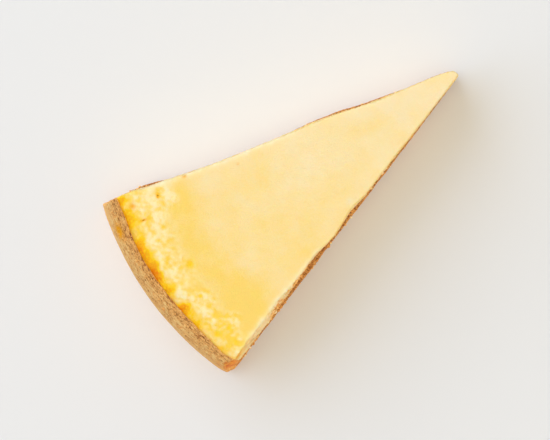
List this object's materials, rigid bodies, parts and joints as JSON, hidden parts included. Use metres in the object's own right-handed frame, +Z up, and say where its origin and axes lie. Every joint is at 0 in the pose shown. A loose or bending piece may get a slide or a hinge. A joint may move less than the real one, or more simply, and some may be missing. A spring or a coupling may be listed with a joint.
{
  "type": "baked cheesecake slice",
  "caption": "Wedge slice of baked cheesecake: a dense cream cheese filling with a lightly browned top on a pastry base, with a pastry wall round its outer end.",
  "frame": {"origin": "on the surface the slice stands on, under the middle of its box", "axes": "+Z up; +Y from the pointed end towards the pastry wall; +X across the slice, to the right seen from the pointed end"},
  "size_m": [0.0776, 0.1396, 0.0399],
  "materials": {
    "pastry": "matte baked shortcrust pastry, biscuit brown, with a fine crumb",
    "filling": "smooth satin baked cream cheese filling, pale yellow skin, paler cream inside"
  },
  "bodies": {
    "root": {"pastry_crust": "pastry", "cheese_filling": "filling"}
  },
  "joints": []
}
